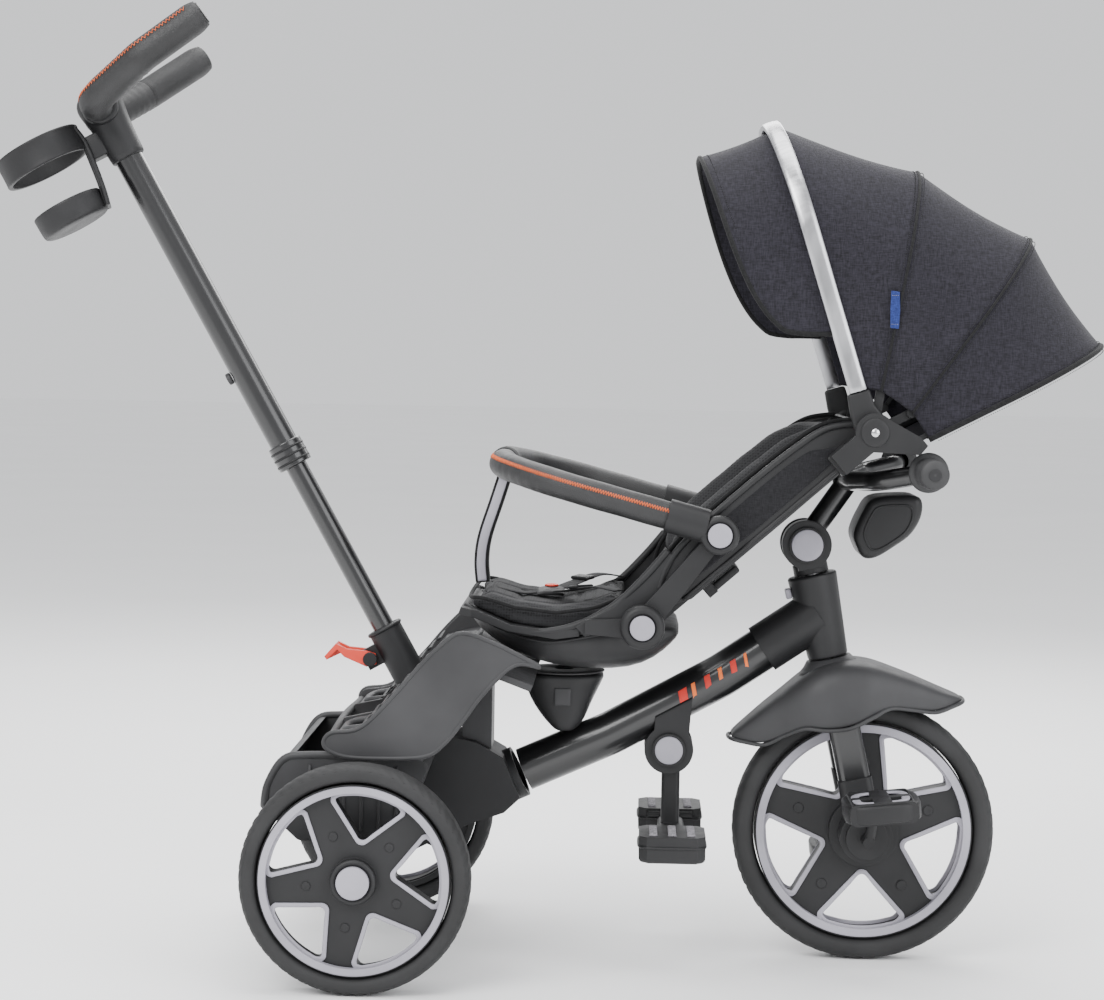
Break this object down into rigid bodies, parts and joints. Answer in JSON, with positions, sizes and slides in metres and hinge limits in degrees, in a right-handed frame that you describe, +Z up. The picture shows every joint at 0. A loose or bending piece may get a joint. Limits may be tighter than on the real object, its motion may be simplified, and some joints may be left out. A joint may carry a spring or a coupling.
{
  "type": "children's tricycle",
  "caption": "Child's tricycle with a parent push handle, rear-facing reclined seat, folding canopy, padded bumper bar, foot platform and storage basket.",
  "frame": {"origin": "bottom centre of the whole tricycle's box, on the ground", "axes": "+X towards the front wheel, +Y to the left of the direction of travel, +Z up"},
  "size_m": [1.2568, 0.508, 1.0772],
  "materials": {
    "painted_tube": "gloss black",
    "steel": "machined",
    "bow_metal": "brushed",
    "shell_black": "fine grain",
    "shell_grey": "fine grain",
    "trim_grey": "satin",
    "tyre_rubber": "matt",
    "grip_rubber": "matt",
    "leatherette": "stitched",
    "seat_fabric": "mesh",
    "canopy_fabric": "melange weave",
    "red_plastic": "gloss"
  },
  "bodies": {
    "frame": {"main_tube": "painted_tube", "head_shell": "shell_black", "head_tube": "steel", "rear_yoke": "shell_black", "rear_axle": "steel", "handle_socket": "shell_black", "foot_platform": "shell_grey", "storage_basket": "shell_grey", "seat_pedestal": "shell_black", "footrest_bracket": "shell_black", "handle_lower_tube": "painted_tube"},
    "steering_lock": {"steering_lock_button": "trim_grey"},
    "quick_release": {"quick_release_lever": "red_plastic"},
    "footrest": {"footrest_stem": "shell_black"},
    "foot_pad_left": {"foot_pad_left": "shell_black"},
    "foot_pad_right": {"foot_pad_right": "shell_black"},
    "fork": {"fork_crown": "steel", "fork_legs": "painted_tube", "fork_ends": "shell_black", "front_fender": "shell_grey", "stem_clamp": "shell_black"},
    "handlebar": {"handlebar": "painted_tube", "handlebar_grips": "grip_rubber", "handlebar_pod": "shell_black"},
    "front_wheel": {"front_tyre": "tyre_rubber", "front_rim": "shell_black", "front_trim": "trim_grey", "crankset": "shell_black"},
    "pedal_left": {"pedal_left": "shell_black"},
    "pedal_right": {"pedal_right": "shell_black"},
    "rear_wheel_left": {"rear_tyre_left": "tyre_rubber", "rear_rim_left": "shell_black", "rear_trim_left": "trim_grey"},
    "rear_wheel_right": {"rear_tyre_right": "tyre_rubber", "rear_rim_right": "shell_black", "rear_trim_right": "trim_grey"},
    "push_handle": {"handle_upper_tube": "painted_tube", "handle_yoke": "shell_black", "push_grips": "leatherette", "cup_holder": "shell_black"},
    "height_button": {"height_button": "shell_grey"},
    "seat": {"seat_base": "shell_black", "seat_pan": "shell_black", "seat_cushion": "seat_fabric", "seat_side_arms": "shell_black"},
    "backrest": {"back_shell": "shell_black", "back_pad": "seat_fabric", "canopy_brackets": "shell_black", "canopy_hinge_pins": "steel"},
    "recline_lever": {"recline_lever": "shell_black"},
    "bumper_bar": {"bumper_bar": "leatherette", "bumper_brackets": "shell_black", "crotch_post": "shell_grey"},
    "canopy_bow": {"canopy_bow": "bow_metal", "canopy_visor": "canopy_fabric", "canopy_panel_front": "canopy_fabric"},
    "canopy_rib_front": {"canopy_rib_front": "steel", "canopy_panel_middle": "canopy_fabric"},
    "canopy_rib_rear": {"canopy_rib_rear": "steel", "canopy_panel_rear": "canopy_fabric"}
  },
  "joints": [
    {"name": "steering", "type": "hinge", "parent": "frame", "child": "fork", "pos_m": [0.32182, 0, 0.39417], "axis": [-0.2147, 0, 0.9767], "range_deg": [-18, 18]},
    {"name": "handlebar_tilt", "type": "hinge", "parent": "fork", "child": "handlebar", "pos_m": [0.30343, 0, 0.47777], "axis": [0, 1, 0], "range_deg": [0, 14]},
    {"name": "front_wheel_spin", "type": "hinge", "parent": "fork", "child": "front_wheel", "pos_m": [0.3755, 0, 0.15], "axis": [0, 1, 0], "continuous": true},
    {"name": "pedal_left_spin", "type": "hinge", "parent": "front_wheel", "child": "pedal_left", "pos_m": [0.36854, 0.143, 0.10049], "axis": [0, 1, 0], "continuous": true},
    {"name": "pedal_right_spin", "type": "hinge", "parent": "front_wheel", "child": "pedal_right", "pos_m": [0.38246, -0.143, 0.19951], "axis": [0, 1, 0], "continuous": true},
    {"name": "rear_wheel_left_spin", "type": "hinge", "parent": "frame", "child": "rear_wheel_left", "pos_m": [-0.186, 0.225, 0.125], "axis": [0, 1, 0], "continuous": true},
    {"name": "rear_wheel_right_spin", "type": "hinge", "parent": "frame", "child": "rear_wheel_right", "pos_m": [-0.186, -0.225, 0.125], "axis": [0, 1, 0], "continuous": true},
    {"name": "handle_height", "type": "slide", "parent": "frame", "child": "push_handle", "axis": [-0.4901, 0, 0.8716], "range_m": [-0.18, 0.06]},
    {"name": "height_button_press", "type": "slide", "parent": "push_handle", "child": "height_button", "axis": [0.8716, 0, 0.4901], "range_m": [0, 0.0015], "stiffness_N_per_m": 300},
    {"name": "quick_release_turn", "type": "hinge", "parent": "frame", "child": "quick_release", "pos_m": [-0.194, 0, 0.336], "axis": [0, 1, 0], "range_deg": [0, 35]},
    {"name": "steering_lock_press", "type": "slide", "parent": "frame", "child": "steering_lock", "axis": [0.9767, 0, 0.2147], "range_m": [0, 0.0015], "stiffness_N_per_m": 300},
    {"name": "footrest_fold", "type": "hinge", "parent": "frame", "child": "footrest", "pos_m": [0.151, 0, 0.24], "axis": [0, 1, 0], "range_deg": [0, 38]},
    {"name": "foot_pad_left_fold", "type": "hinge", "parent": "footrest", "child": "foot_pad_left", "pos_m": [0.155, 0.0515, 0.152], "axis": [1, 0, 0], "range_deg": [0, 80]},
    {"name": "foot_pad_right_fold", "type": "hinge", "parent": "footrest", "child": "foot_pad_right", "pos_m": [0.155, -0.0515, 0.152], "axis": [-1, 0, 0], "range_deg": [0, 80]},
    {"name": "seat_swivel", "type": "hinge", "parent": "frame", "child": "seat", "pos_m": [0.029, 0, 0.328], "axis": [0, 0, 1], "range_deg": [-8, 8]},
    {"name": "backrest_recline", "type": "hinge", "parent": "seat", "child": "backrest", "pos_m": [0.117, 0, 0.395], "axis": [0, -1, 0], "range_deg": [0, 35]},
    {"name": "recline_lever_pull", "type": "hinge", "parent": "backrest", "child": "recline_lever", "pos_m": [0.1954, 0, 0.42394], "axis": [0, 1, 0], "range_deg": [0, 12], "stiffness_Nm_per_rad": 1.5},
    {"name": "bumper_bar_open", "type": "hinge", "parent": "seat", "child": "bumper_bar", "pos_m": [0.199, 0, 0.497], "axis": [0, 1, 0], "range_deg": [0, 40]},
    {"name": "canopy_fold_rear", "type": "hinge", "parent": "backrest", "child": "canopy_rib_rear", "pos_m": [0.363, 0, 0.611], "axis": [0, 1, 0], "range_deg": [0, 24], "deforming": ["canopy_panel_rear"]},
    {"name": "canopy_fold_middle", "type": "hinge", "parent": "canopy_rib_rear", "child": "canopy_rib_front", "pos_m": [0.363, 0, 0.611], "axis": [0, 1, 0], "range_deg": [0, 24], "deforming": ["canopy_panel_middle"]},
    {"name": "canopy_fold_front", "type": "hinge", "parent": "canopy_rib_front", "child": "canopy_bow", "pos_m": [0.363, 0, 0.611], "axis": [0, 1, 0], "range_deg": [0, 24], "deforming": ["canopy_panel_front", "canopy_visor"]}
  ],
  "couplings": [
    {"joint": "canopy_fold_middle", "follows": "canopy_fold_rear", "ratio": 1},
    {"joint": "canopy_fold_front", "follows": "canopy_fold_rear", "ratio": 1}
  ]
}
